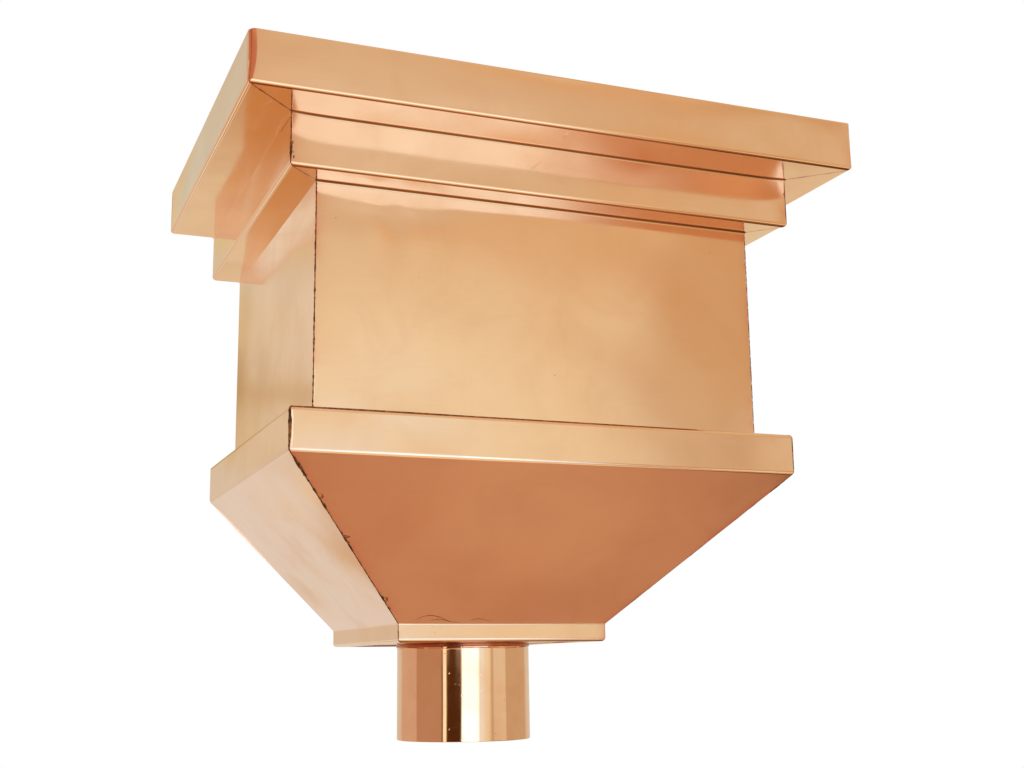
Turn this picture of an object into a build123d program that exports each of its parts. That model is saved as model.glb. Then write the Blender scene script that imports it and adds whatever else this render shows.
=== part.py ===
"""Copper leader head: the box at the top of a rainwater pipe, folded from sheet and soldered.

Three folded panels make the front and the sides. Each runs in one sheet from the hem round the mouth,
down over the stepped cornice, the box, the base band and the hopper, to a lip under the bottom plate.
A flat back closes the box against the wall, and a round outlet goes through the plate.

The origin lies on the wall face, midway across, level with the foot of the box. The wall is the plane
y = 0, the front looks towards -Y and +Z is up. All lengths are millimetres.
"""
import os

from build123d import *

os.makedirs("parts", exist_ok=True)

# Sheet
sheet = 0.7  # thickness of the copper
bend_radius = 1.3  # inside radius of every brake fold
hem_gap = 0.6  # clear space inside the folded hem
hem_depth = 12.0  # how far the hem reaches down inside the mouth
solder_gap = 0.1  # space left for solder between two sheets
lap_width = 10.0  # tabs of the side panels that lie behind the front panel
lap_notch = 4.0  # how far a tab stops short of the folds above and below it

# Box
box_width = 246.0
box_depth = 195.0  # from the wall to the face of the box
box_height = 117.0  # from the ledge of the base band to the frieze

# Cornice
frieze_height = 27.5
frieze_overhang = 17.0  # beyond the face of the box
fascia_height = 27.5
fascia_overhang = 43.5  # beyond the face of the box

# Base band, hopper and bottom band
base_height = 21.0
base_overhang = 14.5  # beyond the face of the box
hopper_height = 77.0
hopper_run = 77.5  # how far the hopper draws in, front and sides alike
bottom_band_height = 9.5
lip_width = 10.0  # inward fold that carries the bottom plate

# Outlet
outlet_diameter = 76.2  # outside
outlet_length = 54.0  # below the bottom plate
outlet_flange = 6.0  # width of the flange turned over inside
outlet_neck = 0.4  # how far the tube is drawn in, on each side, to pass the plate on a shoulder

# The hem turns right over, so its outside radius is half of two sheets and the space between them
hem_radius = sheet + hem_gap / 2

# Levels, from the ledge of the base band
frieze_level = box_height
fascia_level = frieze_level + frieze_height
top_level = fascia_level + fascia_height
hem_level = top_level - hem_radius
hopper_top_level = -base_height
hopper_foot_level = hopper_top_level - hopper_height
bottom_level = hopper_foot_level - bottom_band_height
plate_level = bottom_level + sheet
outlet_end_level = plate_level - outlet_length

# Faces of the bottom band and the outlet's centre
bottom_inset = hopper_run - base_overhang  # behind the face of the box
bottom_width = box_width - 2 * bottom_inset
bottom_depth = box_depth - bottom_inset
outlet_center_y = -bottom_depth / 2
outlet_radius = outlet_diameter / 2


def fold_corners(face):
    """Corners of the sheet's outside, from the lip up to the fascia, for a box face at distance face.

    Each corner is (distance, level, outward), where outward says that the outside wraps the fold.
    """
    return [
        (face - bottom_inset, bottom_level, True),
        (face - bottom_inset, hopper_foot_level, False),
        (face + base_overhang, hopper_top_level, True),
        (face + base_overhang, 0, True),
        (face, 0, False),
        (face, frieze_level, False),
        (face + frieze_overhang, frieze_level, True),
        (face + frieze_overhang, fascia_level, False),
        (face + fascia_overhang, fascia_level, True),
    ]


def outside_line(face):
    """Draws the folded sheet's outside up to where the hem begins, with the outside on the left."""
    corners = fold_corners(face)
    lip_end = (face - bottom_inset - lip_width, bottom_level)
    hem_start = (face + fascia_overhang, hem_level)
    stations = [lip_end] + [corner[:2] for corner in corners] + [hem_start]
    radii = [bend_radius + sheet if outward else bend_radius for _, _, outward in corners]
    return FilletPolyline(*[(-distance, level) for distance, level in stations], radius=radii)


def hem_line(start, turn):
    """Draws the outside of the hem from its start: a half circle over the top, then straight down."""
    over = JernArc(start, (0, 1), hem_radius, turn)
    Line(over @ 1, (over @ 1) - Vector(0, hem_depth - hem_radius))


def panel_section(face):
    """Closed section of a folded panel, as a sketch."""
    with BuildSketch() as section:
        with BuildLine():
            outside = outside_line(face)
            hem_line(outside @ 1, -180)
            offset(amount=sheet, side=Side.RIGHT)
        make_face()
    return section.sketch


# Mitre plane of the front left corner: upright, at 45 degrees, with its normal towards the front panel
left_mitre = Plane((-box_width / 2, -box_depth, 0), x_dir=(0, 0, 1), z_dir=(1, -1, 0))
right_mitre = Plane((box_width / 2, -box_depth, 0), x_dir=(0, 0, 1), z_dir=(-1, -1, 0))

with BuildPart() as front_panel:
    with BuildSketch(Plane.YZ):
        add(panel_section(box_depth))
    extrude(amount=box_width / 2 + fascia_overhang, both=True)
    split(bisect_by=left_mitre.offset(solder_gap / 2), keep=Keep.TOP)
    split(bisect_by=right_mitre.offset(solder_gap / 2), keep=Keep.TOP)
front_panel.part.label = "front_panel"
export_step(front_panel.part, "parts/front_panel.step")

# Upright faces with a tab, as their overhang and the levels of their ends
lapped_faces = [
    (base_overhang, hopper_top_level, 0),
    (0, 0, frieze_level),
    (frieze_overhang, frieze_level, fascia_level),
    (fascia_overhang, fascia_level, top_level - hem_depth),
]

# A tab starts within the side panel's own sheet, so that they are one piece
lap_root = sheet / 3
lap_depth = sheet + solder_gap  # from the front panel's outside to the tab

# Plane of the hopper's tab: behind the front slope, from the top of the hip, with +Y down the slope
slope_length = (hopper_run**2 + hopper_height**2) ** 0.5
hip_top = (-box_width / 2 - base_overhang, -box_depth - base_overhang, hopper_top_level)
hopper_lap = Plane(hip_top, x_dir=(1, 0, 0), z_dir=(0, hopper_height, hopper_run)).offset(lap_depth)

with BuildPart() as left_side_panel:
    with BuildSketch(Plane.XZ.offset(sheet + solder_gap)):
        add(panel_section(box_width / 2))
    extrude(amount=box_depth + fascia_overhang - sheet - solder_gap)
    split(bisect_by=left_mitre.offset(-solder_gap / 2), keep=Keep.BOTTOM)
    for overhang, low, high in lapped_faces:
        root_x = -box_width / 2 - overhang + sheet - lap_root
        with Locations((root_x, -box_depth - overhang + lap_depth, low + lap_notch)):
            lap_height = high - low - 2 * lap_notch
            Box(lap_root + lap_width, sheet, lap_height, align=(Align.MIN, Align.MIN, Align.MIN))
    with BuildSketch(hopper_lap):
        with BuildLine():
            upper = hopper_run * lap_notch / slope_length
            lower = hopper_run - upper
            Polyline(
                (upper - lap_root, lap_notch),
                (upper + lap_width, lap_notch),
                (lower + lap_width, slope_length - lap_notch),
                (lower - lap_root, slope_length - lap_notch),
                close=True,
            )
        make_face()
    extrude(amount=sheet)
left_side_panel.part.label = "left_side_panel"
export_step(left_side_panel.part, "parts/left_side_panel.step")

with BuildPart() as right_side_panel:
    mirror(left_side_panel.part, about=Plane.YZ)
right_side_panel.part.label = "right_side_panel"
export_step(right_side_panel.part, "parts/right_side_panel.step")

# The back's own hem stops short of the hems of the two sides
back_hem_length = box_width + 2 * (fascia_overhang - 2 * hem_radius - solder_gap)

with BuildPart() as back_panel:
    with BuildSketch(Plane.XZ):
        with BuildLine():
            edge = outside_line(box_width / 2)
            Line(edge @ 1, (0, hem_level))
            Line(edge @ 0, (0, bottom_level))
            mirror(about=Plane.YZ)
        make_face()
    extrude(amount=sheet)
    with BuildSketch(Plane.YZ):
        with BuildLine():
            hem_line((0, hem_level), 180)
            offset(amount=sheet, side=Side.LEFT)
        make_face()
    extrude(amount=back_hem_length / 2, both=True)
back_panel.part.label = "back_panel"
export_step(back_panel.part, "parts/back_panel.step")

# The plate stands clear of the inside of the folds that turn into the lips
plate_margin = sheet + bend_radius + solder_gap
plate_front = -bottom_depth + plate_margin
plate_back = -sheet - solder_gap

neck_radius = outlet_radius - outlet_neck

with BuildPart() as bottom_plate:
    with BuildSketch(Plane.XY.offset(plate_level)):
        with Locations((0, (plate_front + plate_back) / 2)):
            Rectangle(bottom_width - 2 * plate_margin, plate_back - plate_front)
        with Locations((0, outlet_center_y)):
            Circle(neck_radius + solder_gap, mode=Mode.SUBTRACT)
    extrude(amount=sheet)
bottom_plate.part.label = "bottom_plate"
export_step(bottom_plate.part, "parts/bottom_plate.step")

# The tube's shoulder comes up under the plate, and its flange is beaten over on top
flange_level = plate_level + sheet
outlet_axis = Axis((0, outlet_center_y, 0), (0, 0, 1))

with BuildPart() as outlet_tube:
    with BuildSketch(Plane.XZ.offset(-outlet_center_y)):
        with BuildLine():
            Polyline(
                (outlet_radius, outlet_end_level),
                (outlet_radius, plate_level - sheet),
                (neck_radius, plate_level),
                (neck_radius, flange_level),
                (neck_radius + outlet_flange, flange_level),
            )
            offset(amount=sheet, side=Side.LEFT, kind=Kind.INTERSECTION)
        make_face()
    revolve(axis=outlet_axis)
outlet_tube.part.label = "outlet_tube"
export_step(outlet_tube.part, "parts/outlet_tube.step")
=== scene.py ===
import math

import bpy
import numpy as np
from mathutils import Matrix


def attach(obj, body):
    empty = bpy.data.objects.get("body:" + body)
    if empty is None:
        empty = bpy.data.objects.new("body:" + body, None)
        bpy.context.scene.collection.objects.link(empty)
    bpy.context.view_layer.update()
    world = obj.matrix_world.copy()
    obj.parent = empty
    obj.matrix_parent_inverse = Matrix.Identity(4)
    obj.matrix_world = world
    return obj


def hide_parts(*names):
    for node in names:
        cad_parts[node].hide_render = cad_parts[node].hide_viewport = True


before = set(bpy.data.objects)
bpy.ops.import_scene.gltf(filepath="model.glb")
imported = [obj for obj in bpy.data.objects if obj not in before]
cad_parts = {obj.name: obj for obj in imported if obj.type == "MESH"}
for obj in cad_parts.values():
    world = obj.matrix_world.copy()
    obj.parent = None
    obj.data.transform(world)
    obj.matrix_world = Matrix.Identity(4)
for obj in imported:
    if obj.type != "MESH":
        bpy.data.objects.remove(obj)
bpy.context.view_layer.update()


# The front panel is one sheet of 20 ounce copper, folded on a brake from the hem round the mouth, down over
# the cornice, the box, the base band and the hopper, to a lip under the bottom plate. Its ends are mitred at
# 45 degrees and soldered to the side panels from inside. The flat faces are left a little wavy by the folding.
SHEET = 0.7
OUTER_BEND = 2.0
INNER_BEND = 1.3
FOOT_BEND = 3.4  # at the foot of the base band, where the fold was left rounder
HEM_BEND = 1.0
BOX_WIDTH = 246.0
BOX_DEPTH = 195.0
MITRE_GAP = 0.07
# Distances beyond the face of the box
LIP_END = -73.0
BOTTOM_OUT = -63.0
BASE_OUT = 14.5
FRIEZE_OUT = 17.0
FASCIA_OUT = 43.5
# Levels above the foot of the box
BOTTOM_LEVEL = -107.5
HOPPER_FOOT = -98.0
HOPPER_TOP = -21.0
FRIEZE_FOOT = 117.0
FASCIA_FOOT = 144.5
HEM_END = 160.0
TOP_LEVEL = 172.0
# Corners of the sheet's outside as distance and level, with the radius of each fold
FOLDS = [
    (LIP_END, BOTTOM_LEVEL, 0.0),
    (BOTTOM_OUT, BOTTOM_LEVEL, OUTER_BEND),
    (BOTTOM_OUT, HOPPER_FOOT, INNER_BEND),
    (BASE_OUT, HOPPER_TOP, FOOT_BEND),
    (BASE_OUT, 0.0, OUTER_BEND),
    (0.0, 0.0, INNER_BEND),
    (0.0, FRIEZE_FOOT, INNER_BEND),
    (FRIEZE_OUT, FRIEZE_FOOT, OUTER_BEND),
    (FRIEZE_OUT, FASCIA_FOOT, INNER_BEND),
    (FASCIA_OUT, FASCIA_FOOT, OUTER_BEND),
    (FASCIA_OUT, TOP_LEVEL, HEM_BEND),
    (FASCIA_OUT - 2 * HEM_BEND, TOP_LEVEL, HEM_BEND),
    (FASCIA_OUT - 2 * HEM_BEND, HEM_END, 0.0),
]
# The flat runs between the corners, in order. The fold after a run has the run's number and a half.
LIP, BOTTOM_BAND, HOPPER, BASE_BAND, LEDGE, BOX, LOW_SOFFIT, FRIEZE, HIGH_SOFFIT, FASCIA = range(10)


def folded_line(folds, spacing):
    """Rounded line through the folds, in mm.

    A fold that turns by the angle a with radius r becomes an arc that starts r tan(|a| / 2) before the corner,
    with eight points between its ends. The straight runs get a point every spacing, and one at most 0.15 from
    each arc, where the shading of the bend ends.
    Returns the points, their normals to the right, the number of the run and the distances to its two ends.
    """
    corner, radius = np.array(folds)[:, :2], np.array(folds)[:, 2]
    step = np.diff(corner, axis=0)
    length = np.hypot(*step.T)
    way = step / length[:, None]
    turn = np.zeros(len(corner))
    turn[1:-1] = np.arctan2(
        way[:-1, 0] * way[1:, 1] - way[:-1, 1] * way[1:, 0], np.sum(way[:-1] * way[1:], axis=1)
    )
    cut = radius * np.tan(np.abs(turn) / 2)
    points, normals, runs, start, end = [], [], [], [], []
    for k in range(len(way)):
        low, high = cut[k], length[k] - cut[k + 1]
        near, far = np.minimum(0.15, radius[k:k + 2] / 2 + 0.01)
        along = np.unique(np.concatenate([
            [low, high], np.linspace(low + near, high - far, max(2, int((high - low) / spacing))),
        ]).round(6))
        right = np.array([way[k, 1], -way[k, 0]])
        points.append(corner[k] + along[:, None] * way[k])
        normals.append(np.tile(right, (len(along), 1)))
        runs.append(np.full(len(along), k))
        start.append(along - low)
        end.append(high - along)
        if k + 1 < len(way):
            bend = np.linspace(0, turn[k + 1], 10)[1:-1]
            side = np.sign(turn[k + 1])
            turned = np.stack([
                right[0] * np.cos(bend) - right[1] * np.sin(bend),
                right[0] * np.sin(bend) + right[1] * np.cos(bend),
            ], axis=1)
            pivot = corner[k] + high * way[k] - side * radius[k + 1] * right
            points.append(pivot + side * radius[k + 1] * turned)
            normals.append(turned)
            runs.append(np.full(len(bend), k + 0.5))
            start.append(np.zeros(len(bend)))
            end.append(np.zeros(len(bend)))
    return [np.concatenate(parts) for parts in (points, normals, runs, start, end)]


def skin(rings, round_path=False):
    """Closed shell over rings[station, point, xyz]: quads join each ring to the next one.

    At the two ends of an open row, quads zip point k of the ring to point -1 - k. The faces are turned
    outwards by the sign of the volume, which is the sum of the tetrahedra from the points' middle to each face.
    """
    stations, count = rings.shape[:2]
    index = np.arange(stations * count).reshape(stations, count)
    if round_path:
        index = np.vstack([index, index[:1]])
    beside = np.roll(index, -1, axis=1)
    quads = [np.stack([index[:-1], index[1:], beside[1:], beside[:-1]], axis=-1).reshape(-1, 4)]
    if not round_path:
        k = np.arange(count // 2 - 1)
        zip_end = np.stack([k, k + 1, count - 2 - k, count - 1 - k], axis=-1)
        quads += [index[0][zip_end], index[-1][zip_end[:, ::-1]]]
    points, quads = rings.reshape(-1, 3), np.concatenate(quads)
    a, b, c, d = (points[quads[:, i]] - points.mean(axis=0) for i in range(4))
    volume = np.sum(a * (np.cross(b, c) + np.cross(c, d)))
    return points, quads if volume > 0 else quads[:, ::-1]


def piece(name, shells, finish, slot, node=None, **shares):
    """One object of the shells, given in mm, at the origin. It rides with the head and may stand for a node.

    Each of the shares names an attribute and gives the first points a number from 0 to 1 for it.
    """
    first = np.cumsum([0] + [len(points) for points, _ in shells])
    points = np.concatenate([points for points, _ in shells]) / 1000
    quads = np.concatenate([quads + start for (_, quads), start in zip(shells, first)])
    mesh = bpy.data.meshes.new(name)
    mesh.from_pydata(points.tolist(), [], quads.tolist())
    mesh.polygons.foreach_set("use_smooth", np.ones(len(quads), bool))
    mesh.set_sharp_from_angle(angle=math.radians(35))
    mesh.materials.append(finish)
    for attribute, values in shares.items():
        filled = np.zeros(len(points), np.float32)
        filled[:values.size] = values.ravel()
        mesh.attributes.new(attribute, "FLOAT", "POINT").data.foreach_set("value", filled)
    made = bpy.data.objects.new(name, mesh)
    bpy.context.scene.collection.objects.link(made)
    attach(made, "root")
    if node:
        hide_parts(node)


# Waves in the flat faces as height, length of a radian across and up, in mm, and phase
HAND_WAVES = [
    (0.16, 30.0, 55.0, 0.6), (0.12, 19.0, -24.0, 2.1), (0.07, 12.5, 14.0, 4.0), (0.035, 8.5, -60.0, 1.2),
    (0.05, 41.0, 9.5, 5.0),
]


def hand_waves(across, up):
    """Shallow waves that handling leaves in a thin sheet, in mm: the sum of five plane waves of 50 to 165 mm."""
    return sum(high * np.sin(across / wide + up / tall + phase) for high, wide, tall, phase in HAND_WAVES)


def fold_bulge(across, under):
    """Bulge that the fold above has left in the front of the box near its left end, in mm.

    Under the fold it rises as 2.2 (1 - exp(-(under / h)^2)), where h is 13 mm and wavers along the sheet, and
    dies away as exp(-under / 70). It ends 58 mm left of the middle.
    """
    left = 1 / (1 + np.exp((across + 58.0) / 7.0))
    height = 13.0 + 1.6 * np.sin(across / 4.6) + 1.2 * np.sin(across / 2.7 + 1.0)
    return 2.2 * left * (1 - np.exp(-(under / height) ** 2)) * np.exp(-under / 70.0)


FRIEZE_LEAN = 1.6
SOFFIT_LIFT = 0.9


def folding_errors(run, start, end):
    """How far folds that are not quite square move the points of the section, in mm: a lean back and a lift.

    The frieze leans back most at its top, and the soffit above follows. The soffit below is lifted most at its
    outer edge, and the frieze follows. Along each of these faces the move changes evenly.
    """
    share = start / np.maximum(start + end, 1e-6)
    lean = (run == FRIEZE) * share + (run == FRIEZE + 0.5) + (run == HIGH_SOFFIT) * (1 - share)
    lift = (run == LOW_SOFFIT) * share + (run == LOW_SOFFIT + 0.5) + (run == FRIEZE) * (1 - share)
    return FRIEZE_LEAN * lean, SOFFIT_LIFT * lift


def corner_radius(run, level, distance, depth, start, end, spring):
    """Radius in plan of the mitred corner, in mm.

    At the fascia and the hem the corner has sprung round: the radius is spring times a lens-shaped share of the
    height, widest at 0.63 of it and nothing at the foot, less the depth under the outside. The other upright
    faces have a small radius, which fades within 2 mm of their folds. On the base band it grows with the spring.
    """
    widest = 0.63
    rise = np.clip((level - FASCIA_FOOT) / (TOP_LEVEL - FASCIA_FOOT), 0, 1)
    lens = np.sqrt(1 - (1 - np.minimum(rise / widest, 1)) ** 2)
    lens = lens * (1 - 0.28 * np.maximum((rise - widest) / (1 - widest), 0) ** 2)
    radius = (run > HIGH_SOFFIT) * (spring * lens - (FASCIA_OUT - distance))
    for face, small in ((BASE_BAND, 0.3 + spring / 3), (BOX, 0.5), (FRIEZE, 0.5)):
        radius = radius + (run == face) * (small - depth) * np.clip(np.minimum(start, end) / 2, 0, 1)
    return np.maximum(radius, 0)


# Shares of the fold attribute: up to the first, gloss and a gold tint that paints the colour of the folds'
# highlight lines; above it, painted brown shade
GLOSS_AND_HIGHLIGHT_TINT = 0.2
PAINTED_FOLD_SHADE = 0.8


def fold_tint_and_painted_shade(run, down, front):
    """Tint of the folds: gloss and a gold tint on each fold over the box, which paints the colour of their
    highlight lines, and painted brown shade on the front.

    The brown line is painted shade where a fold faces down. It comes in over 0.3 of that share, from 0.3 in the
    inner folds at the top of the box and the frieze, and from 0.68 in the outer folds of the two soffits.
    """
    inner, outer = (
        np.isin(run, folds) * np.clip((down - first) / 0.3, 0, 1)
        for folds, first in (((BOX + 0.5, FRIEZE + 0.5), 0.3), ((LOW_SOFFIT + 0.5, HIGH_SOFFIT + 0.5), 0.68))
    )
    return GLOSS_AND_HIGHLIGHT_TINT * (run % 1 > 0) * (run > BOX) + (PAINTED_FOLD_SHADE if front else 0) * (inner + outer)


def panel_rings(folds, station_of, share, phase, springs, from_wall):
    """Points of a folded panel in mm, for its outside and its inside: arrays over section points and stations.

    station_of(distance, share) places a point of the section along the sheet's length at share 0 to 1, and
    gives the room left to the nearer mitred end. The waves fade as 1 - exp(-x / 5) from folds and as
    1 - exp(-x / 10) from ends, and on the fascia they only go inwards. In plan the last radius mm of an end turn
    through 45 degrees on an arc, and springs says how far the corners at the two ends have sprung. The front's
    frieze leans between the mitres, and the low soffit of a panel from the wall is lifted.
    Returns distance, level, place along the sheet, closeness to a mitre and the painted tint and shade of the
    folds for each of the two sides. The closeness falls off as exp(-room / 2.2), and the base band, which was wiped
    clean, has none.
    """
    line, normal, run, start, end = folded_line(folds, 3.4)
    run, start, end = run[:, None], start[:, None], end[:, None]
    sides = []
    for depth in (0.0, SHEET):
        distance, level = (np.repeat((line - depth * normal)[:, k:k + 1], len(share), axis=1) for k in (0, 1))
        along, room = station_of(distance, share[None, :])
        spring = np.where(along < 0, springs[0], springs[1])
        radius = np.maximum(corner_radius(run, level, distance, depth, start, end, spring), 1e-6)
        arc = np.pi / 4 * (1 - np.clip(room / radius, 0, 1))
        rounded = room < radius
        shift = rounded * (radius * (1 - np.sin(arc)) - room)
        fade = (1 - np.exp(-start / 5)) * (1 - np.exp(-end / 5)) * (1 - np.exp(-room / 10))
        size = np.select(
            [run > FASCIA, run == HIGH_SOFFIT, run == LOW_SOFFIT, run == BOX, run == FRIEZE],
            [0.0, 0.15, 0.3, 0.4 if from_wall else 0.7, 0.7], 1.0,
        )
        wave = fade * size * (hand_waves(along + phase, level + 0.6 * distance) - 0.42 * (run == FASCIA))
        wave = wave + (run == BOX) * (1 - np.exp(-room / 8)) * fold_bulge(along, end)
        lean, lift = folding_errors(run, start, end)
        lean = lean * (0 if from_wall else 1 - np.exp(-room / 8))
        lift = lift * (np.clip(room / 1.2, 0, 1) * np.clip(along / 40, 0, 1) if from_wall else 0)
        distance = distance + wave * normal[:, :1] - rounded * radius * (1 - np.cos(arc)) - lean
        level = level + wave * normal[:, 1:] + lift
        by_seam = np.exp(-room / 2.2) * (run != BASE_BAND)
        # The folds get a gold tint that paints their highlight colour, and painted brown shade where they face down
        folded = np.broadcast_to(fold_tint_and_painted_shade(run, -normal[:, 1:], not from_wall), level.shape)
        sides.append((distance, level, along - np.sign(along) * shift, by_seam, folded))
    return sides


def front_station(distance, share):
    """Place across the front panel: its half length grows with the distance, as the mitre asks."""
    half = BOX_WIDTH / 2 + distance - MITRE_GAP
    along = (2 * share - 1) * half
    return along, half - np.abs(along)


def linear(colour):
    """Linear RGBA of an sRGB hex colour."""
    part = np.array([int(colour[i:i + 2], 16) for i in (1, 3, 5)]) / 255
    part = np.where(part <= 0.04045, part / 12.92, ((part + 0.055) / 1.055) ** 2.4)
    return (*part.tolist(), 1.0)


def add_node(tree, kind, sockets=None, **settings):
    """Adds a node. Settings are its properties; sockets gives an input its value, or the output that feeds it."""
    new = tree.nodes.new(kind)
    for key, value in settings.items():
        setattr(new, key, value)
    for key, value in (sockets or {}).items():
        if isinstance(value, bpy.types.NodeSocket):
            tree.links.new(value, new.inputs[key])
        else:
            new.inputs[key].default_value = value
    return new


def empty_material(name):
    """New material and its node tree, with no node in it."""
    made = bpy.data.materials.new(name)
    made.use_nodes = True
    made.node_tree.nodes.clear()
    return made, made.node_tree


def bright_rolled_copper(name, grain):
    """Bright rolled copper sheet: the mill leaves a fine grain along the strip, and hands leave faint smudges.

    grain holds the cycles per metre of the streaks along X, Y and Z. The real grain is finer than a pixel, so
    it is drawn half a millimetre wide and faint. The eye gets a soft mirror with warm, uneven patches of 60 to
    120 mm, cloudy smudges of 20 to 50 mm, specks of half a millimetre and a pink bloom beside soldered corners.
    The folds are a little glossier and tinted gold, which paints the colour of their highlight lines, and brown
    lines of painted shade lie in those of the front's cornice.
    """
    made, tree = empty_material(name)
    place = add_node(tree, "ShaderNodeTexCoord").outputs["Object"]
    streak_place = add_node(tree, "ShaderNodeMapping", {"Vector": place, "Scale": grain})
    streak = add_node(tree, "ShaderNodeTexNoise", {
        "Vector": streak_place.outputs[0], "Scale": 1.0, "Detail": 3.0, "Roughness": 0.6,
    }).outputs["Fac"]
    smudge = add_node(tree, "ShaderNodeTexNoise", {
        "Vector": place, "Scale": 24.0, "Detail": 5.0, "Roughness": 0.62, "Distortion": 0.7,
    }).outputs["Fac"]
    patch = add_node(tree, "ShaderNodeTexNoise", {
        "Vector": place, "Scale": 9.0, "Detail": 3.0, "Roughness": 0.5, "Distortion": 0.3,
    }).outputs["Fac"]
    patched = add_node(tree, "ShaderNodeMapRange", {
        "Value": patch, "From Min": 0.38, "From Max": 0.72, "To Max": 0.55,
    }, interpolation_type="SMOOTHSTEP").outputs[0]
    body = add_node(tree, "ShaderNodeMix", {
        0: patched, 6: linear("#F9CEAD"), 7: linear("#F3BE98"),
    }, data_type="RGBA").outputs[2]
    smudged = add_node(tree, "ShaderNodeMapRange", {
        "Value": smudge, "From Min": 0.45, "From Max": 0.75, "To Max": 0.3,
    }).outputs[0]
    streaked = add_node(tree, "ShaderNodeMapRange", {
        "Value": streak, "From Min": 0.35, "From Max": 0.75, "To Max": 0.045,
    }).outputs[0]
    seam = add_node(tree, "ShaderNodeAttribute", attribute_name="by_seam").outputs["Fac"]
    bloom = add_node(tree, "ShaderNodeMapRange", {
        "Value": smudge, "From Min": 0.4, "From Max": 0.6, "To Min": 0.1, "To Max": 0.8,
    }).outputs[0]
    bloom = add_node(tree, "ShaderNodeMath", {0: seam, 1: bloom}, operation="MULTIPLY").outputs[0]
    fold = add_node(tree, "ShaderNodeAttribute", attribute_name="folded").outputs["Fac"]
    # The gold tint paints the colour of the folds' highlight lines, and the brown tint is painted shade in folds
    # that face down
    gloss_and_highlight_tint = add_node(tree, "ShaderNodeMapRange", {
        "Value": fold, "From Max": GLOSS_AND_HIGHLIGHT_TINT, "To Max": 0.5,
    }).outputs[0]
    painted_fold_shade = add_node(tree, "ShaderNodeMapRange", {
        "Value": fold, "From Min": GLOSS_AND_HIGHLIGHT_TINT, "To Max": 0.9,
    }).outputs[0]
    cells = add_node(tree, "ShaderNodeTexVoronoi", {"Vector": place, "Scale": 230.0}, feature="F1")
    kept = add_node(tree, "ShaderNodeMapRange", {
        "Value": add_node(tree, "ShaderNodeSeparateColor", {0: cells.outputs["Color"]}).outputs[0],
        "From Min": 0.965, "From Max": 0.98,
    }).outputs[0]
    dot = add_node(tree, "ShaderNodeMapRange", {
        "Value": cells.outputs["Distance"], "From Min": 0.05, "From Max": 0.11, "To Min": 0.5, "To Max": 0.0,
    }).outputs[0]
    speck = add_node(tree, "ShaderNodeMath", {0: kept, 1: dot}, operation="MULTIPLY").outputs[0]
    for share, tint in (
        (smudged, "#E9B48E"), (streaked, "#D9966B"), (bloom, "#EC9577"), (gloss_and_highlight_tint, "#F9B880"),
        (painted_fold_shade, "#8A5C34"), (speck, "#8A5A38"),
    ):
        body = add_node(tree, "ShaderNodeMix", {0: share, 6: body, 7: linear(tint)}, data_type="RGBA").outputs[2]
    dull = add_node(tree, "ShaderNodeMapRange", {
        "Value": smudge, "From Min": 0.35, "From Max": 0.75, "To Min": 0.1, "To Max": 0.18,
    }).outputs[0]
    dull = add_node(tree, "ShaderNodeMath", {0: gloss_and_highlight_tint, 1: -0.1, 2: dull}, operation="MULTIPLY_ADD").outputs[0]
    bump = add_node(tree, "ShaderNodeBump", {
        "Strength": 1.0, "Distance": 0.0000008, "Height": streak,
    })
    shader = add_node(tree, "ShaderNodeBsdfPrincipled", {
        "Base Color": body, "Roughness": dull, "Metallic": 1.0, "Normal": bump.outputs[0],
    })
    add_node(tree, "ShaderNodeOutputMaterial", {"Surface": shader.outputs[0]})
    return made


LEFT_SPRING = 5.2
RIGHT_SPRING = 0.6
END_SHARE = 0.015  # share of the length at each end where the stations stand close, to round the corner
copper_across = bright_rolled_copper("bright_rolled_copper_across", (25.0, 2000.0, 2000.0))
by_end = np.linspace(0, END_SHARE, 24)
front_shares = np.concatenate([by_end, np.linspace(END_SHARE, 1 - END_SHARE, 120)[1:-1], 1 - by_end[::-1]])
sides = panel_rings(FOLDS, front_station, front_shares, 0.0, (LEFT_SPRING, RIGHT_SPRING), False)
outside, inside = (
    np.stack([along, -(BOX_DEPTH + distance), level, by_seam, folded], axis=-1)
    for distance, level, along, by_seam, folded in sides
)
front_rings = np.concatenate([outside, inside[::-1]]).transpose(1, 0, 2)
piece("front_panel_sheet", [skin(front_rings[..., :3])], copper_across, "copper_sheet", "front_panel",
      by_seam=front_rings[..., 3], folded=front_rings[..., 4])


# The side panels are folded from the same sheet to the same section, mitred at the front and cut square at the
# back. Tabs at their front edges are turned behind the front panel, where the solder runs in. The two folds
# under the cornice are tighter than on the front.
BACK_EDGE = 0.8
LAP_WIDTH = 10.0
LAP_NOTCH = 4.0
LAP_DEPTH = SHEET + 0.1
FASCIA_LAP_DEPTH = 2.2  # deeper, to stay inside the rounded corner
TIGHT_BEND = 0.05
HOPPER_RUN = BASE_OUT - BOTTOM_OUT
HOPPER_HEIGHT = HOPPER_TOP - HOPPER_FOOT
SLOPE_LENGTH = math.hypot(HOPPER_RUN, HOPPER_HEIGHT)
# Tabs as distance and level of the lower end, distance and level of the upper end, and depth under the outside
LAPS = [
    (BASE_OUT, HOPPER_TOP, BASE_OUT, 0.0, LAP_DEPTH),
    (0.0, 0.0, 0.0, FRIEZE_FOOT, LAP_DEPTH),
    (FRIEZE_OUT, FRIEZE_FOOT, FRIEZE_OUT - FRIEZE_LEAN, FASCIA_FOOT, LAP_DEPTH),
    (FASCIA_OUT, FASCIA_FOOT, FASCIA_OUT, HEM_END, FASCIA_LAP_DEPTH),
]


def side_station(distance, share):
    """Place along a side panel, from the wall towards the mitre, as a positive length."""
    length = BOX_DEPTH + distance - MITRE_GAP
    along = BACK_EDGE + share * (length - BACK_EDGE)
    return along, length - along


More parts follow.
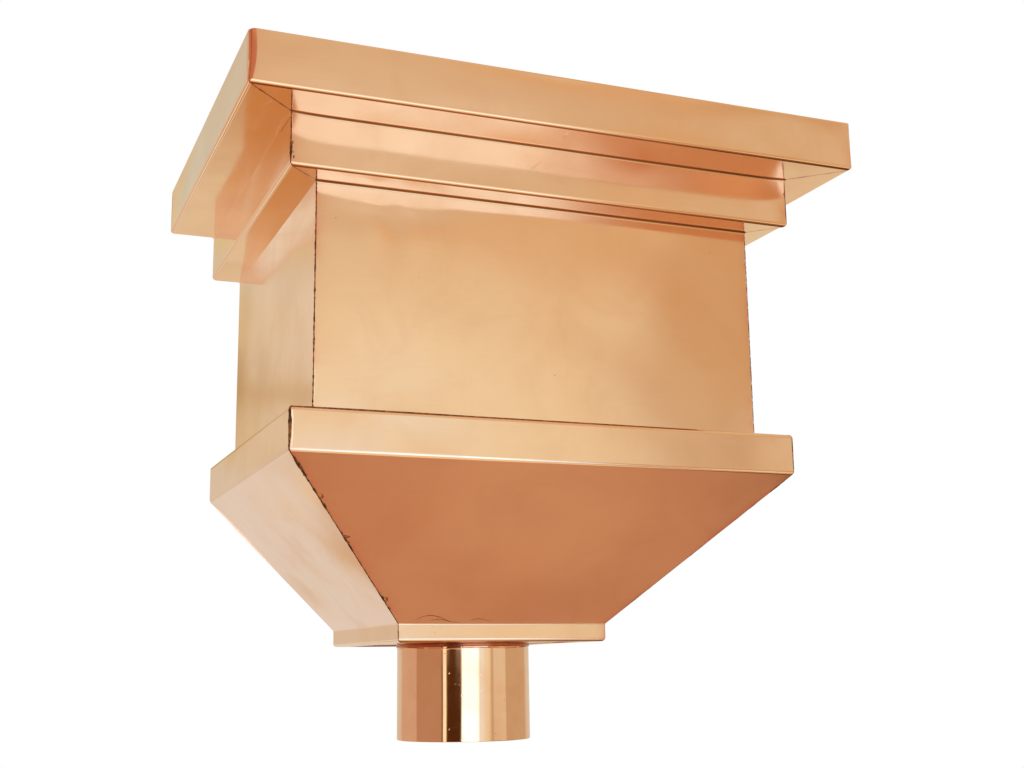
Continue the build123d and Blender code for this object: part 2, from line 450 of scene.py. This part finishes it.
def tab(upper, lower, across, thick):
    """Flat tab between an upper and a lower edge that start at two points and run across by a vector."""
    rings = [(start, start + across, start + across + thick, start + thick) for start in (upper, lower)]
    return skin(np.array(rings))


copper_along = bright_rolled_copper("bright_rolled_copper_along", (2000.0, 25.0, 2000.0))
tight = ((0.0, FRIEZE_FOOT), (FRIEZE_OUT, FASCIA_FOOT))
side_folds = [(out, up, TIGHT_BEND if (out, up) in tight else bend) for out, up, bend in FOLDS]
side_shares = np.concatenate([np.linspace(0, 1 - END_SHARE, 92)[:-1], 1 - by_end[::-1]])
for name, hand, phase, spring in (("left", -1.0, 140.0, LEFT_SPRING), ("right", 1.0, 395.0, RIGHT_SPRING)):
    sides = panel_rings(side_folds, side_station, side_shares, phase, (0.0, spring), True)
    outside, inside = (
        np.stack([hand * (BOX_WIDTH / 2 + distance), -along, level, by_seam, folded], axis=-1)
        for distance, level, along, by_seam, folded in sides
    )
    rings = np.concatenate([outside, inside[::-1]]).transpose(1, 0, 2)
    shells = [skin(rings[..., :3])]
    turned_in = np.array([-hand * (LAP_WIDTH + SHEET / 3), 0.0, 0.0])
    for low_out, low, high_out, high, depth in LAPS:
        notch = LAP_NOTCH / (high - low)
        upper, lower = (
            np.array([
                hand * (BOX_WIDTH / 2 + out - SHEET * 2 / 3), -BOX_DEPTH - out + depth, low + at * (high - low)
            ])
            for at, out in ((t, low_out + t * (high_out - low_out)) for t in (1 - notch, notch))
        )
        shells.append(tab(upper, lower, turned_in, np.array([0.0, SHEET, 0.0])))
    down = np.array([-hand * HOPPER_RUN, HOPPER_RUN, -HOPPER_HEIGHT]) / SLOPE_LENGTH
    inward = np.array([0.0, HOPPER_HEIGHT, HOPPER_RUN]) / SLOPE_LENGTH
    hip_top = np.array([hand * (BOX_WIDTH / 2 + BASE_OUT + SHEET / 3), -BOX_DEPTH - BASE_OUT, HOPPER_TOP])
    hip_top = hip_top + LAP_DEPTH * inward
    shells.append(tab(
        hip_top + LAP_NOTCH * down, hip_top + (SLOPE_LENGTH - LAP_NOTCH) * down, turned_in, SHEET * inward
    ))
    piece(f"{name}_side_sheet", shells, copper_along, "copper_sheet", f"{name}_side_panel",
          by_seam=rings[..., 3], folded=rings[..., 4])


# The back panel is one flat sheet cut to the outline of the section, with its own hem at the top, and the
# bottom plate is a flat sheet that lies on the lips. Both are plain copper, soldered along their edges.
for node in ("back_panel", "bottom_plate"):
    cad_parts[node].data.materials.clear()
    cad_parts[node].data.materials.append(copper_across)


# The outlet is a short length of drawn copper tube, polished, shouldered under the bottom plate and beaten
# over above it. It is not quite round, so the streaks of light in it taper and waver.
OUTLET_RADIUS = 38.1
OUTLET_FOOT = -160.8
OUTLET_SHOULDER = -107.5
OUTLET_CENTRE = -66.0
OUTLET_BORE = 37.4
NECK_RADIUS = 37.7
NECK_BORE = 37.0
FLANGE_RADIUS = 43.7
FLANGE_FOOT = -106.1
FLANGE_TOP = -105.4


def polished_drawn_copper(name):
    """Polished drawn copper tube: a clear mirror with faint draw lines down its length and a few pits.

    Draw lines of about 0.8 mm lie round the tube, so they vary with X and Y and hardly with Z. The pits are about
    0.7 mm across, one in each ten cells of 1.7 mm, and catch the light as flecks in the dark streak.
    """
    made, tree = empty_material(name)
    place = add_node(tree, "ShaderNodeTexCoord").outputs["Object"]
    lines = add_node(tree, "ShaderNodeTexNoise", {
        "Vector": add_node(tree, "ShaderNodeMapping", {
            "Vector": place, "Scale": (700.0, 700.0, 9.0),
        }).outputs[0],
        "Scale": 1.0, "Detail": 2.0,
    }).outputs["Fac"]
    smudge = add_node(tree, "ShaderNodeTexNoise", {
        "Vector": place, "Scale": 45.0, "Detail": 4.0, "Distortion": 0.5,
    }).outputs["Fac"]
    tone = add_node(tree, "ShaderNodeMapRange", {
        "Value": smudge, "From Min": 0.4, "From Max": 0.75, "To Max": 0.6,
    }).outputs[0]
    body = add_node(tree, "ShaderNodeMix", {
        0: tone, 6: linear("#F9CEAD"), 7: linear("#F2B78F"),
    }, data_type="RGBA").outputs[2]
    dull = add_node(tree, "ShaderNodeMapRange", {
        "Value": smudge, "From Min": 0.35, "From Max": 0.8, "To Min": 0.05, "To Max": 0.11,
    }).outputs[0]
    cells = add_node(tree, "ShaderNodeTexVoronoi", {"Vector": place, "Scale": 600.0}, feature="F1")
    kept = add_node(tree, "ShaderNodeMapRange", {
        "Value": add_node(tree, "ShaderNodeSeparateColor", {0: cells.outputs["Color"]}).outputs[0],
        "From Min": 0.9, "From Max": 0.91,
    }).outputs[0]
    pit = add_node(tree, "ShaderNodeMapRange", {
        "Value": cells.outputs["Distance"], "From Max": 0.4, "To Min": 1.0, "To Max": 0.0,
    }, interpolation_type="SMOOTHSTEP").outputs[0]
    pit = add_node(tree, "ShaderNodeMath", {0: kept, 1: pit}, operation="MULTIPLY").outputs[0]
    pitted = add_node(tree, "ShaderNodeBump", {
        "Strength": 1.0, "Distance": 0.00003, "Height": pit,
    }, invert=True)
    bump = add_node(tree, "ShaderNodeBump", {
        "Strength": 1.0, "Distance": 0.000003, "Height": lines, "Normal": pitted.outputs[0],
    })
    shader = add_node(tree, "ShaderNodeBsdfPrincipled", {
        "Base Color": body, "Roughness": dull, "Metallic": 1.0, "Normal": bump.outputs[0],
    })
    add_node(tree, "ShaderNodeOutputMaterial", {"Surface": shader.outputs[0]})
    return made


# Section of the tube as radius and level: the outside from the foot to the flange, and the inside
wall = np.linspace(OUTLET_FOOT + 0.2, OUTLET_SHOULDER, 16)
outer = np.array([(37.9, OUTLET_FOOT), *((OUTLET_RADIUS, level) for level in wall),
                  (37.72, -106.85), (NECK_RADIUS, FLANGE_FOOT), (FLANGE_RADIUS, FLANGE_FOOT)])
inner = np.array([(37.6, OUTLET_FOOT), *((OUTLET_BORE, level) for level in wall),
                  (37.05, -107.0), (NECK_BORE, FLANGE_TOP), (FLANGE_RADIUS, FLANGE_TOP)])
section = np.concatenate([outer, inner[::-1]])
# Waves of two, three and five to the round make it up to a fifth of a millimetre untrue, most below the shoulder
turn = np.linspace(0, 2 * np.pi, 256, endpoint=False)[:, None]
radius, level = section[:, 0][None, :], section[:, 1][None, :]
drop = np.clip((OUTLET_SHOULDER - level) / 50, 0, 1)
radius = radius + drop * (0.1 * np.cos(2 * turn + 0.7) + 0.06 * np.cos(3 * turn + 2.0 - drop))
radius = radius + drop * (1 - drop) * 0.12 * np.cos(5 * turn + 1.0 + 2 * drop)
tube_rings = np.stack([radius * np.cos(turn), OUTLET_CENTRE + radius * np.sin(turn), level + 0 * turn], axis=-1)
copper_tube = polished_drawn_copper("polished_drawn_copper")
piece("outlet_spigot_tube", [skin(tube_rings, round_path=True)], copper_tube, "copper_tube", "outlet_tube")


# A bead of solder runs round the outlet, close under the bottom plate. It is tinned over with copper that the
# heat has turned red-brown, and it is a little uneven.
def heat_reddened_copper(name):
    """Copper oxidised by soldering heat: a satin red-brown skin, paler in spots of 3 to 6 mm where it was wiped."""
    made, tree = empty_material(name)
    place = add_node(tree, "ShaderNodeTexCoord").outputs["Object"]
    wiped = add_node(tree, "ShaderNodeTexNoise", {"Vector": place, "Scale": 160.0, "Detail": 3.0}).outputs["Fac"]
    body = add_node(tree, "ShaderNodeMix", {
        0: wiped, 6: linear("#8C4630"), 7: linear("#C8775A"),
    }, data_type="RGBA").outputs[2]
    shader = add_node(tree, "ShaderNodeBsdfPrincipled", {
        "Base Color": body, "Roughness": 0.25, "Metallic": 1.0,
    })
    add_node(tree, "ShaderNodeOutputMaterial", {"Surface": shader.outputs[0]})
    return made


BEAD_LEVEL = -108.2
BEAD_HEIGHT = 2.3
BEAD_BULGE = 0.65
BEAD_ROOT = 37.6  # radius, within the wall of the tube
reddened = heat_reddened_copper("heat_reddened_copper")
rise = np.linspace(-np.pi / 2, np.pi / 2, 12)[None, :]
uneven = 1 + 0.16 * np.sin(5 * turn + 1.0) + 0.1 * np.sin(13 * turn + 0.4)
bead_out = OUTLET_RADIUS - 0.1 + BEAD_BULGE * uneven * np.cos(rise)
bead_up = BEAD_LEVEL + BEAD_HEIGHT / 2 * (0.8 + 0.2 * uneven) * np.sin(rise)
bead_out = np.concatenate([bead_out, np.full((len(turn), 1), BEAD_ROOT)], axis=1)
bead_up = np.concatenate([bead_up, np.full((len(turn), 1), BEAD_LEVEL)], axis=1)
bead_rings = np.stack([bead_out * np.cos(turn), OUTLET_CENTRE + bead_out * np.sin(turn), bead_up], axis=-1)
piece("outlet_solder_bead", [skin(bead_rings, round_path=True)], reddened, "copper_tube")


# The corner seams are where the mitred edges of front and sides meet: raw sheared edges with a little solder and
# brown flux drawn through from inside. They are uneven, thick at the top of the hips and thin in the soffits, and
# end at the fascia, where the corner is closed from inside.
def flux_stained_seam(name):
    """Soldered raw copper edge, stained by flux: dark brown with coppery spots, dull and uneven at 1 mm."""
    made, tree = empty_material(name)
    place = add_node(tree, "ShaderNodeTexCoord").outputs["Object"]
    mottle = add_node(tree, "ShaderNodeTexNoise", {
        "Vector": place, "Scale": 380.0, "Detail": 3.0, "Roughness": 0.6,
    }).outputs["Fac"]
    mixed = add_node(tree, "ShaderNodeMapRange", {"Value": mottle, "From Min": 0.42, "From Max": 0.66}).outputs[0]
    body = add_node(tree, "ShaderNodeMix", {
        0: mixed, 6: linear("#553722"), 7: linear("#AD7447"),
    }, data_type="RGBA").outputs[2]
    bump = add_node(tree, "ShaderNodeBump", {"Strength": 0.6, "Distance": 0.0002, "Height": mottle})
    shader = add_node(tree, "ShaderNodeBsdfPrincipled", {
        "Base Color": body, "Roughness": 0.42, "Metallic": 0.85, "Normal": bump.outputs[0],
    })
    add_node(tree, "ShaderNodeOutputMaterial", {"Surface": shader.outputs[0]})
    return made


def tube_along(path, size, side, spokes):
    """Tube of the radius size[station], in mm, along a path. Its rings stand on side[station] and across it."""
    way = np.gradient(path, axis=0)
    over = np.cross(way / np.linalg.norm(way, axis=1)[:, None], side)
    turned = np.linspace(0, 2 * np.pi, spokes, endpoint=False)[None, :, None]
    ring = np.cos(turned) * side[:, None] + np.sin(turned) * over[:, None]
    return skin(path[:, None] + size[:, None, None] * ring)


seam_finish = flux_stained_seam("flux_stained_seam")
SEAM_END = 0.05
LEFT_BAND_DEPTH = 0.25  # how much deeper the seam lies at the base band's left corner, which has sprung round
# Half width of the seam on each run of the section, from the lip to the high soffit
SEAM_WIDTH = np.array([0.2, 0.26, 0.3, 0.62, 0.3, 0.3, 0.24, 0.32, 0.28])
# Lumps of solder as run, share of its length, extra half width and length, in mm
SEAM_LUMPS = [
    (HOPPER, 0.93, 0.95, 4.5), (HOPPER, 0.80, 0.35, 2.0), (HOPPER, 0.71, 0.4, 2.2), (HOPPER, 0.52, 0.35, 3.0),
    (HOPPER, 0.47, 0.3, 1.8), (HOPPER, 0.16, 0.4, 2.2), (BASE_BAND, 0.72, 0.35, 5.0), (FRIEZE, 0.2, 0.35, 2.6),
    (FRIEZE, 0.34, 0.25, 1.6), (BOX, 0.72, 0.2, 1.6), (BOX, 0.52, 0.2, 1.8), (BOX, 0.3, 0.18, 1.8),
    (HIGH_SOFFIT, 0.25, 0.25, 1.5), (HIGH_SOFFIT, 0.7, 0.3, 2.0), (LOW_SOFFIT, 0.4, 0.2, 1.2),
]
line, normal, run, start, end = folded_line(FOLDS, 0.9)
seen = run <= HIGH_SOFFIT
line, normal, run, start, end = (part[seen] for part in (line, normal, run, start, end))
shares = start / np.maximum(start + end, 1e-6)
for name, hand, seed, thick in (("left", -1.0, 11, 1.0), ("right", 1.0, 29, 0.45)):
    draw = np.random.default_rng(seed)
    size = np.interp(run, np.arange(len(SEAM_WIDTH)), SEAM_WIDTH)
    size = size * np.where(run == BOX, draw.uniform(0.45, 1.65, len(run)), draw.uniform(0.75, 1.25, len(run)))
    for at, share, extra, length in SEAM_LUMPS:
        away = (shares - share) * (start + end)
        size = size + (run == at) * extra * np.exp(-(away / length) ** 2) * draw.uniform(0.7, 1.1)
    size = thick * size
    wander = draw.normal(0, 0.05, (len(run), 1))
    corner = np.stack([hand * (BOX_WIDTH / 2 + line[:, 0]), -(BOX_DEPTH + line[:, 0]), line[:, 1]], axis=1)
    plane = np.array([hand, 1.0, 0.0]) / math.sqrt(2)
    from_fold = np.clip(np.minimum(start, end) / 2, 0, 1)
    sunk = 0.55 * size + (run == BASE_BAND) * (LEFT_BAND_DEPTH if hand < 0 else 0.0) * from_fold
    outward = np.stack([hand * normal[:, 0], -normal[:, 0], math.sqrt(2) * normal[:, 1]], axis=1) / math.sqrt(2)
    corner = corner + wander * plane - sunk[:, None] * outward
    size[[0, -1]] = SEAM_END
    piece(f"{name}_corner_seam", [tube_along(corner, size, np.tile(plane, (len(size), 1)), 8)],
          seam_finish, "copper_sheet")


# Snips and file have left curled slivers of copper along the left hip and wisps at the hopper's foot. Threads in
# the foot's crease and along the ledge are painted shade in those corners. All these threads, a few tenths of a
# millimetre thick, take the dark finish of the seams. The scratches in the high soffit are bright.
def thread(path, thick, away):
    """Thread of radius thick along a path, in mm, thinning towards both ends. away points off the sheet."""
    way = np.gradient(path, axis=0)
    side = np.cross(way, away)
    side /= np.linalg.norm(side, axis=1)[:, None]
    size = thick * (0.15 + 0.85 * np.sin(np.pi * np.linspace(0, 1, len(path))) ** 0.4)
    return tube_along(path, size, side, 6)


HIP_TOP = np.array([-BOX_WIDTH / 2 - BASE_OUT, -BOX_DEPTH - BASE_OUT, HOPPER_TOP])
HIP_FOOT = np.array([-BOX_WIDTH / 2 - BOTTOM_OUT, -BOX_DEPTH - BOTTOM_OUT, HOPPER_FOOT])
ACROSS = np.array([1.0, 0.0, 0.0])
SLOPE_DOWN = np.array([0.0, HOPPER_RUN, -HOPPER_HEIGHT]) / SLOPE_LENGTH
SLOPE_OUT = np.array([0.0, -HOPPER_HEIGHT, -HOPPER_RUN]) / SLOPE_LENGTH


def line_across(first, last, count, place):
    """Points from one place across the front to another, at the same depth and level, in mm."""
    return np.linspace((first, *place), (last, *place), count)


# Slivers as share of the hip from its top, length in mm, first heading from level and turn, in degrees
SLIVERS = [
    (0.12, 3.2, 100, -160), (0.15, 2.4, 70, -40), (0.18, 3.2, 40, 40), (0.25, 4.4, 50, -220), (0.29, 2.4, 70, -60),
    (0.44, 3.2, 30, 45), (0.46, 4.4, 40, -60), (0.49, 3.0, 65, -80), (0.53, 3.6, 35, 40), (0.82, 3.0, 55, -50),
    (0.85, 4.8, 50, -240), (0.89, 2.6, 70, -80),
]
unit = np.linspace(0, 1, 40)
shells = []
for share, length, heading, turned in SLIVERS:
    angle = np.radians(heading + turned * unit)
    step = np.cos(angle)[:, None] * ACROSS + np.sin(angle)[:, None] * SLOPE_DOWN
    path = HIP_TOP + share * (HIP_FOOT - HIP_TOP) + np.cumsum(step, axis=0) * length / len(unit)
    path = path + (0.1 + 0.5 * np.sin(np.pi * unit))[:, None] * SLOPE_OUT
    shells.append(thread(path, 0.2, SLOPE_OUT))
piece("hip_slivers", shells, seam_finish, "copper_sheet")

# Wisps as places across the front and heights up the slope above the foot, in mm
WISPS = [
    ((-50.7, -46.3, -37.7, -31.2), (3.1, 5.5, 4.5, 1.0)), ((-43.0, -38.0, -31.0, -26.0), (2.2, 3.2, 1.6, 1.2)),
    ((-20.3, -13.7, -11.0, -8.6), (2.3, 3.4, 2.6, 1.7)),
]
shells = []
for across, height in WISPS:
    foot = line_across(across[0], across[-1], 40, HIP_FOOT[1:])
    up = np.polyval(np.polyfit(across, height, 3), foot[:, 0])
    shells.append(thread(foot - up[:, None] * SLOPE_DOWN + 0.03 * SLOPE_OUT, 0.085, SLOPE_OUT))
# A thread of painted shade lies in the crease at the hopper's foot
painted_crease_shade = line_across(-59.0, 59.0, 80, HIP_FOOT[1:] + (-0.1, -0.02))
shells.append(thread(painted_crease_shade, 0.12, SLOPE_OUT))
# Lines of painted shade along the ledge as their end across the front and their radius, in mm
for last, thick in ((80.0, 0.26), (-40.0, 0.4)):
    painted_ledge_shade = line_across(-136.6, last, 160, (-208.5, -0.2))
    shells.append(thread(painted_ledge_shade, thick, np.array([0.0, -1.0, 0.0])))
piece("foot_wisps_and_painted_shade", shells, seam_finish, "copper_sheet")

SCRATCH_LEVEL = FASCIA_FOOT - 0.08
# Scratches in the high soffit, from and to a place across and a place in depth, in mm
SCRATCHES = [
    ((-1.5, -225.2), (-2.9, -234.7)), ((-140.9, -181.0), (-141.4, -205.0)), ((-155.5, -209.0), (-151.6, -222.0)),
]
shells = [
    thread(np.linspace((*near, SCRATCH_LEVEL), (*far, SCRATCH_LEVEL), 40), 0.2, np.array([0.0, 0.0, -1.0]))
    for near, far in SCRATCHES
]
piece("soffit_scratches", shells, copper_tube, "copper_sheet")


# Near-black spots beside the left corner of the frieze are painted shade of small pits there. A few more flat
# dark spots lie along the seams and on the bottom band.
def pit_shade_and_dark_spot_finish(name):
    """Near-black finish with a dull shine, uneven at half a millimetre, for painted pit shade and dark spots."""
    made, tree = empty_material(name)
    place = add_node(tree, "ShaderNodeTexCoord").outputs["Object"]
    crust = add_node(tree, "ShaderNodeTexNoise", {"Vector": place, "Scale": 900.0, "Detail": 2.0}).outputs["Fac"]
    body = add_node(tree, "ShaderNodeMix", {
        0: crust, 6: linear("#160D07"), 7: linear("#4A3020"),
    }, data_type="RGBA").outputs[2]
    shader = add_node(tree, "ShaderNodeBsdfPrincipled", {"Base Color": body, "Roughness": 0.5})
    add_node(tree, "ShaderNodeOutputMaterial", {"Surface": shader.outputs[0]})
    return made


# Spots as place across the front, distance beyond the face of the box, level, half width and half height, in mm
# The first four spots are painted shade of pits by the frieze's left corner
PIT_SHADE_AND_DARK_SPOTS = [
    (-138.4, FRIEZE_OUT, 121.2, 0.42, 1.3), (-138.7, FRIEZE_OUT, 123.6, 0.25, 0.5),
    (-139.0, FRIEZE_OUT, 128.6, 0.3, 1.0), (-139.2, FRIEZE_OUT, 126.3, 0.22, 0.7),
    (-122.0, 0.0, 74.0, 0.2, 0.6), (-122.1, 0.0, 51.5, 0.22, 0.7), (-122.1, 0.0, 30.0, 0.2, 0.5),
    (122.4, 0.0, 98.0, 0.3, 0.9), (122.5, 0.0, 40.0, 0.25, 0.7), (139.2, 16.9, 136.0, 0.3, 1.2),
    (-41.1, BOTTOM_OUT, -99.6, 0.2, 0.3), (-36.6, BOTTOM_OUT, -99.8, 0.16, 0.3),
    (-40.0, BOTTOM_OUT, -102.5, 0.22, 0.3), (0.4, BOTTOM_OUT, -104.8, 0.2, 0.25),
]
shells = []
rise = np.linspace(-0.97, 0.97, 13)
for across, distance, level, wide, high in PIT_SHADE_AND_DARK_SPOTS:
    middle = np.array([across, -BOX_DEPTH - distance + 0.7 * wide, level])
    path = middle + high * rise[:, None] * np.array([0.0, 0.0, 1.0])
    shells.append(tube_along(path, wide * np.sqrt(1 - rise ** 2), np.tile(ACROSS, (13, 1)), 8))
piece("pit_shade_and_dark_spots", shells, pit_shade_and_dark_spot_finish("pit_shade_and_dark_spot_finish"), "copper_sheet")


# The floor is a plain pale disc well below the head, which hangs clear as it would on its wall. It fades out
# towards its rim, so that no edge shows against the white surround.
FLOOR_LEVEL = -0.9
FLOOR_RADIUS = 6.0
floor_mesh = bpy.data.meshes.new("floor")
angle = np.linspace(0, 2 * np.pi, 96, endpoint=False)
rim = np.stack([FLOOR_RADIUS * np.cos(angle), FLOOR_RADIUS * np.sin(angle), np.full(96, FLOOR_LEVEL)], axis=1)
floor_mesh.from_pydata(rim.tolist(), [], [range(len(rim))])
floor = bpy.data.objects.new("floor", floor_mesh)
bpy.context.scene.collection.objects.link(floor)
floor.visible_glossy = False
pale, tree = empty_material("pale_floor")
away = add_node(tree, "ShaderNodeVectorMath", {
    0: add_node(tree, "ShaderNodeTexCoord").outputs["Object"],
}, operation="LENGTH").outputs["Value"]
shown = add_node(tree, "ShaderNodeMapRange", {
    "Value": away, "From Min": 1.4, "From Max": 4.5, "To Min": 1.0, "To Max": 0.0,
}, interpolation_type="SMOOTHSTEP").outputs[0]
paint = add_node(tree, "ShaderNodeBsdfPrincipled", {
    "Base Color": linear("#F3F1EE"), "Roughness": 0.9, "Alpha": shown,
})
add_node(tree, "ShaderNodeOutputMaterial", {"Surface": paint.outputs[0]})
floor_mesh.materials.append(pale)

# The surround is plain white at a strength of 1 and gives the even light
world = bpy.data.worlds.new("white_surround")
bpy.context.scene.world = world
world.use_nodes = True
world.node_tree.nodes["Background"].inputs["Color"].default_value = (1.0, 1.0, 1.0, 1.0)
world.node_tree.nodes["Background"].inputs["Strength"].default_value = 1.0


# The studio is a tent of paper round the head with screens inside it, which the copper mirrors: a window in
# front, a pale bench below it, warm walls and a brown ground. Each screen is even, with soft edges.
TENT_RADIUS = 3.0
# Screens as name, azimuths, elevations and width of the edge in degrees, colour and strength. A later screen
# stands before an earlier one. Azimuth 0 is towards the front and 90 towards the right.
SCREENS = [
    ("warm ceiling", (-110, 110), (8, 120), 10, "#E0D4BA", 1.0),
    ("upper screen", (-6, 25), (25, 60), 4, "#E8E1CD", 1.0),
    ("upper beam", (25, 60), (24, 60), 4, "#E2CDA6", 1.0),
    ("brown ground", (-400, 400), (-120, -34), 14, "#BF977C", 1.0),
    ("shaded ground", (-8, 172), (-100, -40), 6, "#55431C", 1.0),
    ("lit ground", (34, 101), (-87, -49), 7, "#C3977A", 1.0),
    ("middle of the ground", (34, 78), (-87, -56), 8, "#CFA585", 1.0),
    ("near ground", (5, 108), (-100, -67), 5, "#CA9C7E", 1.0),
    ("right wall", (24, 118), (-44, 22), 8, "#CFBA9B", 1.0),
    ("far left wall", (-156, -96), (-40, 24), 6, "#D6BDA8", 1.0),
    ("left wall", (-107, -54), (-44, 24), 3, "#BF9B80", 1.0),
    ("top of left wall", (-162, -12), (14, 60), 5, "#CC9779", 1.0),
    ("back wall", (112, 250), (14, 60), 5, "#D6D4C0", 1.0),
    ("back board", (120, 200), (7, 19), 3, "#D2BD87", 1.0),
    ("back screen", (192.4, 230), (7.2, 20), 3, "#E9E2D0", 1.0),
    ("upper board", (150, 215), (18, 23), 2.5, "#E4D3A4", 1.0),
    ("low rail", (120, 193.8), (10.4, 15), 1.6, "#B0915A", 1.0),
    ("end of the rail", (193, 210), (10.6, 13.4), 1.6, "#D2BC92", 1.0),
    ("back bench", (112, 250), (-26, -7), 3, "#E7E8E3", 1.0),
    ("end of back bench", (112, 178), (-26, -7), 3, "#E7E0C4", 1.0),
    ("back ground", (112, 177), (-40, -18), 4, "#D0B58F", 1.0),
    ("yellow end of the bench", (189.6, 195.5), (-21, -14.4), 2, "#F2E4B8", 1.1),
    ("left ground", (185.5, 250), (-60, -15.4), 3.6, "#D2AE75", 1.0),
    ("back window", (195.2, 208), (-18.4, -11), 2, "#C6E8F6", 1.7),
    ("front beam", (11, 40), (13, 24), 4, "#E3CCA6", 1.0),
    ("front screen", (-34, 30), (-15, 19), 7, "#F5F6DF", 1.0),
    ("front of the bench", (-26, 36), (-46, -28), 5, "#F3E6C8", 1.1),
    ("floor by the bench", (-30, 50), (-68, -39), 6, "#F3E6C8", 1.1),
    ("front bench", (-26, 31.5), (-38, -8), 5, "#B8E0FF", 2.35),
    ("side of the window", (-26, 20), (-12, 13), 8, "#E8F9FF", 1.15),
    ("window", (-24, 8.5), (-14, 7), 4.5, "#F0F5FF", 2.4),
    ("head of the window", (-24, 4), (2, 12.4), 3, "#DCFCF8", 1.6),
    ("pale curtain", (31.5, 58), (-30, 24), 2, "#E7E0C9", 1.0),
    ("upper post", (27, 38), (9, 23), 3, "#D5BA91", 1.0),
    ("lower post", (26.2, 46), (-42, -22), 4, "#CDAA83", 1.0),
    ("middle post", (21.6, 46), (-24, -5), 4, "#D1B18B", 1.0),
    ("edge of the curtain", (33.2, 58), (-34, -18), 1, "#F0E6C8", 1.15),
    ("dark stand", (-53, -30), (-40, 2.4), 3, "#744C28", 1.0),
    ("foot of the stand", (-57, -21), (-40, 0.2), 2.6, "#502F12", 1.0),
    ("slim lamp", (-54, -46.5), (-25, 15), 1.8, "#FFF4D8", 1.4),
    ("head of the lamp", (-54, -42), (-1.5, 15), 1.8, "#FFF4D8", 1.4),
]
rows, columns = 181, 361  # one point for each degree
azimuth, elevation = np.meshgrid(np.linspace(-180, 180, columns), np.linspace(-90, 90, rows))
light = np.ones((rows, columns, 3)) * linear("#DED8C7")[:3]
for _, across, up, soft, colour, strength in SCREENS:
    middle = (across[0] + across[1]) / 2
    turned = np.abs((azimuth - middle + 180) % 360 - 180)
    turned = np.zeros_like(turned) if across[1] - across[0] >= 360 else turned
    inside = np.minimum((across[1] - across[0]) / 2 - turned, np.minimum(elevation - up[0], up[1] - elevation))
    t = np.clip(inside / soft, 0, 1)[..., None]
    cover = 3 * t ** 2 - 2 * t ** 3
    light = light * (1 - cover) + cover * strength * np.array(linear(colour)[:3])
a, e = np.radians(azimuth), np.radians(elevation)
points = TENT_RADIUS * np.stack([np.sin(a) * np.cos(e), -np.cos(a) * np.cos(e), np.sin(e)], axis=-1)
index = np.arange(rows * columns).reshape(rows, columns)
quads = np.stack([index[:-1, :-1], index[1:, :-1], index[1:, 1:], index[:-1, 1:]], axis=-1).reshape(-1, 4)
tent_mesh = bpy.data.meshes.new("tent")
tent_mesh.from_pydata(points.reshape(-1, 3).tolist(), [], quads.tolist())
glow = tent_mesh.attributes.new("glow", "FLOAT_VECTOR", "POINT")
glow.data.foreach_set("vector", light.astype(np.float32).ravel())
tent = bpy.data.objects.new("tent", tent_mesh)
bpy.context.scene.collection.objects.link(tent)
tent.visible_camera = tent.visible_diffuse = tent.visible_shadow = tent.visible_transmission = False
paper, tree = empty_material("lit_paper")
paper.cycles.emission_sampling = "NONE"
shine = add_node(tree, "ShaderNodeEmission", {
    "Color": add_node(tree, "ShaderNodeAttribute", attribute_name="glow").outputs["Vector"], "Strength": 1.0,
})
add_node(tree, "ShaderNodeOutputMaterial", {"Surface": shine.outputs[0]})
tent_mesh.materials.append(paper)


# The camera stands low in front and to the left, looks up and is tilted a little, as the photograph was taken.
# Its place, angles and lens come from the same fit as the sizes of the head.
LENS = 48.02
CAMERA_PLACE = (-0.27745, -0.82690, -0.12116)
yaw, pitch, roll = (math.radians(angle) for angle in (22.2034, 11.7252, 0.7793))
ahead = np.array([math.sin(yaw) * math.cos(pitch), math.cos(yaw) * math.cos(pitch), math.sin(pitch)])
level_right = np.array([math.cos(yaw), -math.sin(yaw), 0.0])
level_down = np.cross(ahead, level_right)
right = math.cos(roll) * level_right + math.sin(roll) * level_down
down = -math.sin(roll) * level_right + math.cos(roll) * level_down
lens_data = bpy.data.cameras.new("camera")
lens_data.lens = LENS
lens_data.sensor_width = 36.0
lens_data.sensor_fit = "HORIZONTAL"
camera = bpy.data.objects.new("camera", lens_data)
bpy.context.scene.collection.objects.link(camera)
stand = np.eye(4)
stand[:3, :3] = np.stack([right, -down, -ahead], axis=1)
stand[:3, 3] = CAMERA_PLACE
camera.matrix_world = Matrix(stand.tolist())
bpy.context.scene.camera = camera
bpy.context.scene.view_settings.view_transform = "Standard"
